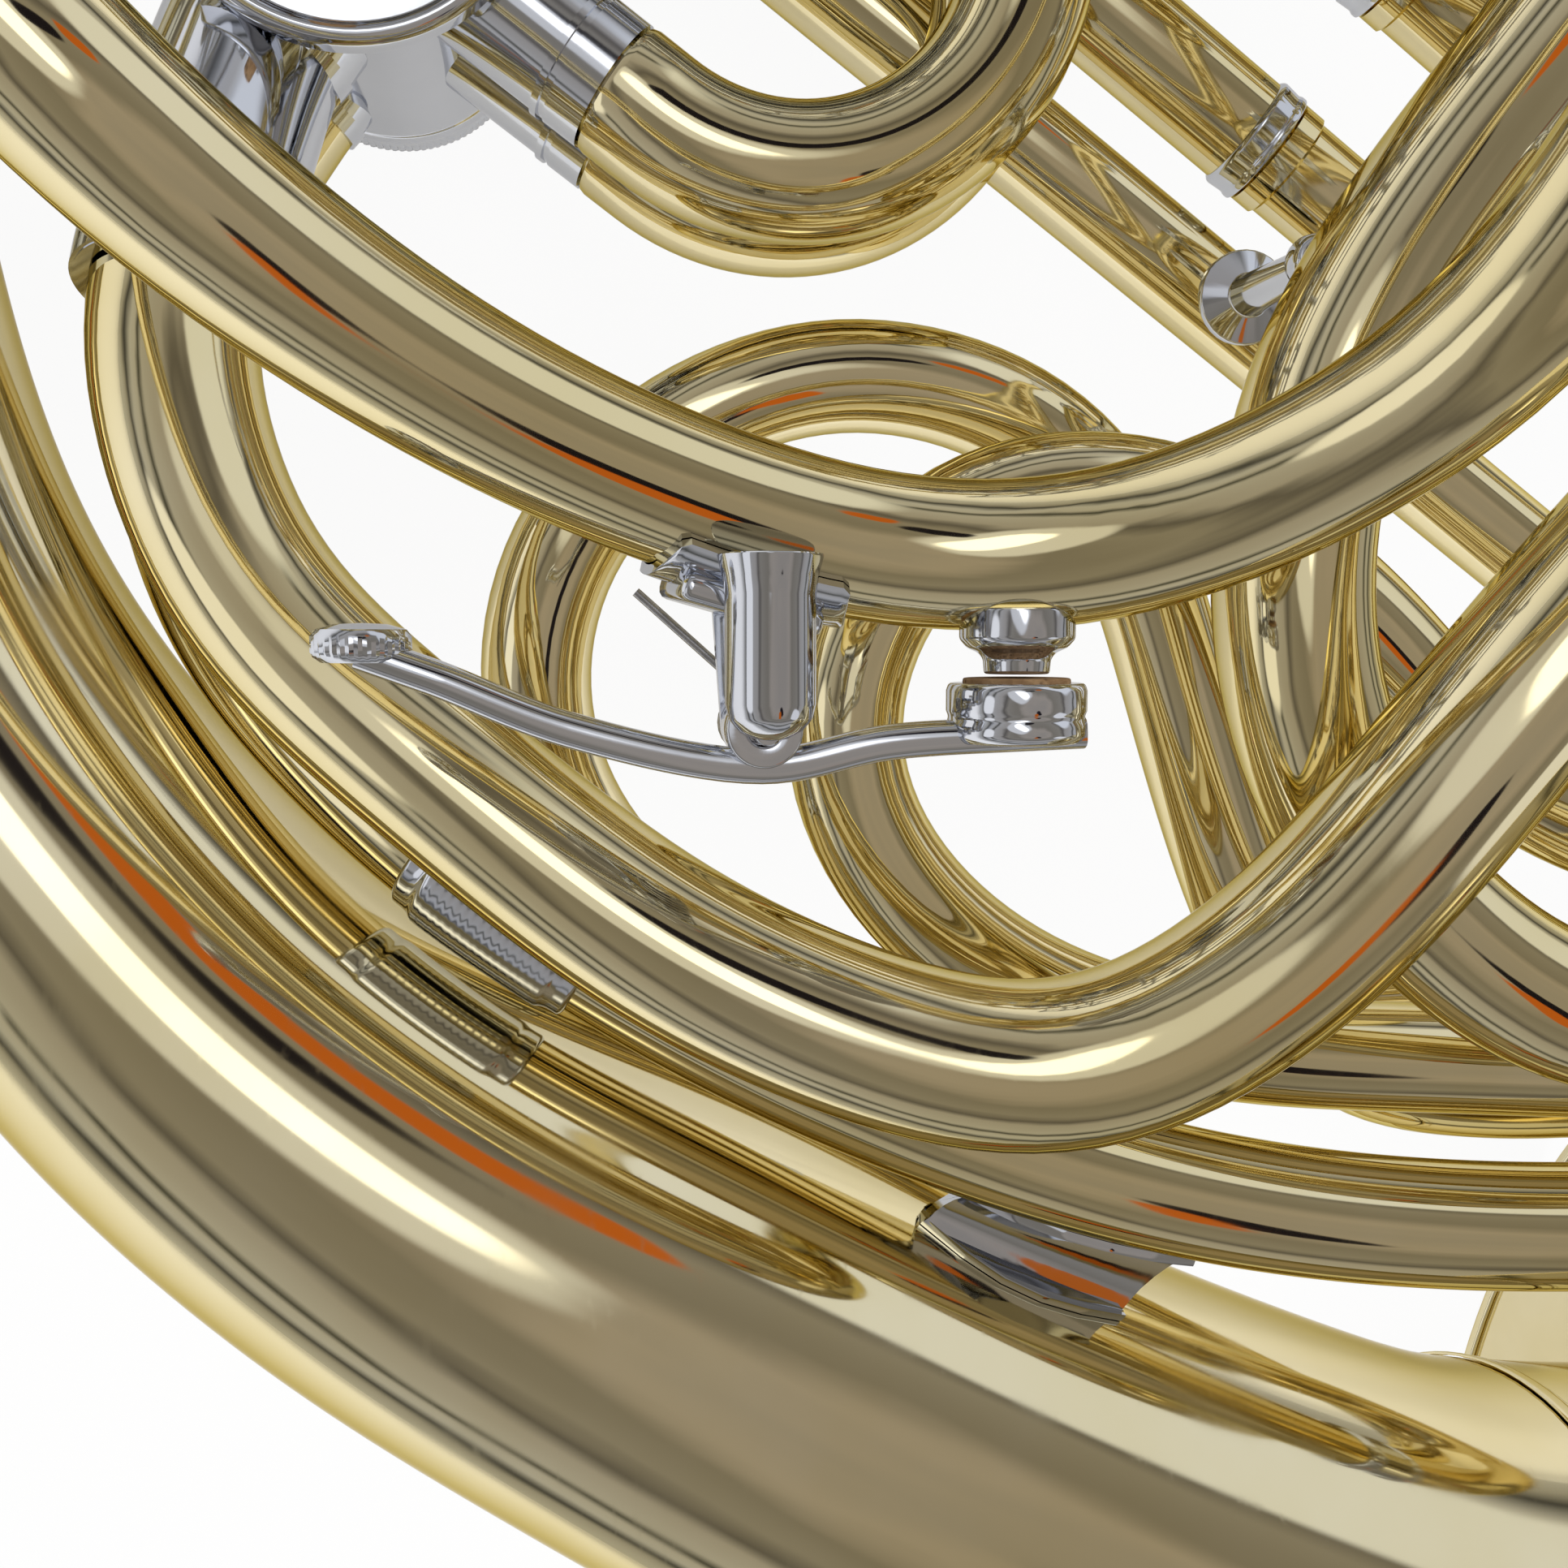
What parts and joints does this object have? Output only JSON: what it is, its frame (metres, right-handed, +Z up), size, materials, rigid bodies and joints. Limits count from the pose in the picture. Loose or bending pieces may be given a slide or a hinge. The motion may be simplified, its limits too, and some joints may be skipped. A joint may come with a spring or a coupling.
{
  "type": "double french horn",
  "caption": "Double french horn: wide flared bell, wound brass tubing, rotary valves with finger and thumb levers, pull-out slides and crooks, water key and removable mouthpiece.",
  "frame": {"origin": "on the floor, under the middle of the box around the horn as it lies on its bell rim and far tubes with the levers up", "axes": "+Z up, +Y along the horn's longest side, from the bell's rim towards the top bow, +X from the bell tail's side towards the receiver's side"},
  "size_m": [0.3954, 0.6186, 0.3026],
  "materials": {
    "lacquered_brass": "polished brass under clear lacquer",
    "nickel_silver": "polished nickel silver",
    "spring_steel": "plain steel",
    "cork": "natural cork"
  },
  "bodies": {
    "horn": {"bell_tail": "lacquered_brass", "bell_flare": "lacquered_brass", "mouthpiece_receiver": "nickel_silver", "leadpipe": "lacquered_brass", "branch_tube": "lacquered_brass", "lower_branch": "lacquered_brass", "arch_loop": "lacquered_brass", "ring_loop": "lacquered_brass", "side_bow": "lacquered_brass", "slide_feed_tube": "lacquered_brass", "branch_sleeve": "nickel_silver", "valve_casing_1": "nickel_silver", "valve_cap_1": "nickel_silver", "valve_casing_2": "nickel_silver", "valve_cap_2": "nickel_silver", "valve_casing_3": "nickel_silver", "valve_cap_3": "nickel_silver", "valve_casing_4": "nickel_silver", "valve_cap_4": "nickel_silver", "valve_links_1": "lacquered_brass", "valve_links_2": "lacquered_brass", "valve_links_3": "lacquered_brass", "f_slide_sleeves": "lacquered_brass", "b_flat_slide_sleeves": "lacquered_brass", "main_slide_sleeves": "lacquered_brass", "lever_bracket": "nickel_silver", "lever_axle": "spring_steel", "water_key_saddle": "nickel_silver", "water_key_spring": "spring_steel", "branch_ferrule": "nickel_silver", "bell_brace": "nickel_silver", "little_finger_hook": "nickel_silver"},
    "valve_1_rotor": {"rotor_1": "lacquered_brass", "stop_arm_1": "nickel_silver"},
    "finger_lever_1": {"finger_lever_1": "nickel_silver"},
    "link_1": {"link_rod_1": "spring_steel"},
    "valve_2_rotor": {"rotor_2": "lacquered_brass", "stop_arm_2": "nickel_silver"},
    "finger_lever_2": {"finger_lever_2": "nickel_silver"},
    "link_2": {"link_rod_2": "spring_steel"},
    "valve_3_rotor": {"rotor_3": "lacquered_brass", "stop_arm_3": "nickel_silver"},
    "finger_lever_3": {"finger_lever_3": "nickel_silver"},
    "link_3": {"link_rod_3": "spring_steel"},
    "valve_4_rotor": {"rotor_4": "lacquered_brass", "stop_arm_4": "nickel_silver"},
    "thumb_lever": {"thumb_lever": "nickel_silver"},
    "link_4": {"link_rod_4": "spring_steel"},
    "f_slide_1_body": {"f_slide_1": "lacquered_brass"},
    "b_flat_slide_1_body": {"b_flat_slide_1": "lacquered_brass"},
    "f_slide_2_body": {"f_slide_2": "lacquered_brass"},
    "b_flat_slide_2_body": {"b_flat_slide_2": "lacquered_brass"},
    "f_slide_3_body": {"f_slide_3": "lacquered_brass"},
    "b_flat_slide_3_body": {"b_flat_slide_3": "lacquered_brass"},
    "main_slide_body": {"main_tuning_slide": "lacquered_brass"},
    "near_crook_body": {"change_crook_near": "lacquered_brass"},
    "far_crook_body": {"change_crook_far": "lacquered_brass"},
    "mouthpiece_body": {"mouthpiece": "nickel_silver"},
    "water_key": {"water_key_lever": "nickel_silver", "water_key_cork": "cork"}
  },
  "joints": [
    {"name": "finger_1_press", "type": "hinge", "parent": "horn", "child": "finger_lever_1", "pos_m": [-0.05192, 0.26213, 0.08601], "axis": [-0.6105, -0.7919, -0.0118], "range_deg": [0, 16], "stiffness_Nm_per_rad": 0.12, "springref_deg": -20.05},
    {"name": "rotor_1_turn", "type": "hinge", "parent": "horn", "child": "valve_1_rotor", "pos_m": [-0.00499, 0.23763, 0.04366], "axis": [0.2836, -0.2047, -0.9369], "range_deg": [0, 90]},
    {"name": "link_1_swing", "type": "hinge", "parent": "finger_lever_1", "child": "link_1", "pos_m": [-0.03616, 0.26683, 0.0604], "axis": [-0.6105, -0.7919, -0.0118], "range_deg": [-16, 0]},
    {"name": "finger_2_press", "type": "hinge", "parent": "horn", "child": "finger_lever_2", "pos_m": [-0.07421, 0.23322, 0.08558], "axis": [-0.6105, -0.7919, -0.0118], "range_deg": [0, 16], "stiffness_Nm_per_rad": 0.12, "springref_deg": -20.05},
    {"name": "rotor_2_turn", "type": "hinge", "parent": "horn", "child": "valve_2_rotor", "pos_m": [-0.03308, 0.2012, 0.04312], "axis": [0.2836, -0.2047, -0.9369], "range_deg": [0, 90]},
    {"name": "link_2_swing", "type": "hinge", "parent": "finger_lever_2", "child": "link_2", "pos_m": [-0.06424, 0.23041, 0.05986], "axis": [-0.6105, -0.7919, -0.0118], "range_deg": [-16, 0]},
    {"name": "finger_3_press", "type": "hinge", "parent": "horn", "child": "finger_lever_3", "pos_m": [-0.09405, 0.20749, 0.0852], "axis": [-0.6105, -0.7919, -0.0118], "range_deg": [0, 16], "stiffness_Nm_per_rad": 0.12, "springref_deg": -20.05},
    {"name": "rotor_3_turn", "type": "hinge", "parent": "horn", "child": "valve_3_rotor", "pos_m": [-0.06116, 0.16477, 0.04257], "axis": [0.2836, -0.2047, -0.9369], "range_deg": [0, 90]},
    {"name": "link_3_swing", "type": "hinge", "parent": "finger_lever_3", "child": "link_3", "pos_m": [-0.09233, 0.19398, 0.05931], "axis": [-0.6105, -0.7919, -0.0118], "range_deg": [-16, 0]},
    {"name": "thumb_press", "type": "hinge", "parent": "horn", "child": "thumb_lever", "pos_m": [-0.15449, 0.12909, 0.08403], "axis": [-0.6105, -0.7919, -0.0118], "range_deg": [0, 16], "stiffness_Nm_per_rad": 0.12, "springref_deg": -20.05},
    {"name": "rotor_4_turn", "type": "hinge", "parent": "horn", "child": "valve_4_rotor", "pos_m": [-0.11367, 0.09667, 0.04156], "axis": [0.2836, -0.2047, -0.9369], "range_deg": [0, 90]},
    {"name": "link_4_swing", "type": "hinge", "parent": "thumb_lever", "child": "link_4", "pos_m": [-0.14483, 0.12588, 0.0583], "axis": [-0.6105, -0.7919, -0.0118], "range_deg": [-16, 0]},
    {"name": "f_slide_1_pull", "type": "slide", "parent": "horn", "child": "f_slide_1_body", "axis": [0.7395, -0.5753, 0.3495], "range_m": [0, 0.024]},
    {"name": "f_slide_2_pull", "type": "slide", "parent": "horn", "child": "f_slide_2_body", "axis": [0.7395, -0.5753, 0.3495], "range_m": [0, 0.02]},
    {"name": "f_slide_3_pull", "type": "slide", "parent": "horn", "child": "f_slide_3_body", "axis": [0.7395, -0.5753, 0.3495], "range_m": [0, 0.03]},
    {"name": "b_flat_slide_1_pull", "type": "slide", "parent": "horn", "child": "b_flat_slide_1_body", "axis": [0.7395, -0.5753, 0.3495], "range_m": [0, 0.018]},
    {"name": "b_flat_slide_2_pull", "type": "slide", "parent": "horn", "child": "b_flat_slide_2_body", "axis": [0.7395, -0.5753, 0.3495], "range_m": [0, 0.015]},
    {"name": "b_flat_slide_3_pull", "type": "slide", "parent": "horn", "child": "b_flat_slide_3_body", "axis": [0.7395, -0.5753, 0.3495], "range_m": [0, 0.02]},
    {"name": "main_slide_pull", "type": "slide", "parent": "horn", "child": "main_slide_body", "axis": [0.7395, -0.5753, 0.3495], "range_m": [0, 0.028]},
    {"name": "near_crook_pull", "type": "slide", "parent": "horn", "child": "near_crook_body", "axis": [0.7395, -0.5753, 0.3495], "range_m": [0, 0.006]},
    {"name": "far_crook_pull", "type": "slide", "parent": "horn", "child": "far_crook_body", "axis": [0.7395, -0.5753, 0.3495], "range_m": [0, 0.006]},
    {"name": "mouthpiece_pull", "type": "slide", "parent": "horn", "child": "mouthpiece_body", "axis": [0.6528, 0.757, -0.0276], "range_m": [0, 0.018]},
    {"name": "water_key_open", "type": "hinge", "parent": "horn", "child": "water_key", "pos_m": [-0.10204, 0.02649, 0.13086], "axis": [0.2836, -0.2047, -0.9369], "range_deg": [0, 12], "stiffness_Nm_per_rad": 0.02, "springref_deg": -28.65}
  ],
  "couplings": [
    {"joint": "rotor_1_turn", "follows": "finger_1_press", "ratio": 5.625},
    {"joint": "link_1_swing", "follows": "finger_1_press", "ratio": -1},
    {"joint": "rotor_2_turn", "follows": "finger_2_press", "ratio": 5.625},
    {"joint": "link_2_swing", "follows": "finger_2_press", "ratio": -1},
    {"joint": "rotor_3_turn", "follows": "finger_3_press", "ratio": 5.625},
    {"joint": "link_3_swing", "follows": "finger_3_press", "ratio": -1},
    {"joint": "rotor_4_turn", "follows": "thumb_press", "ratio": 5.625},
    {"joint": "link_4_swing", "follows": "thumb_press", "ratio": -1}
  ]
}
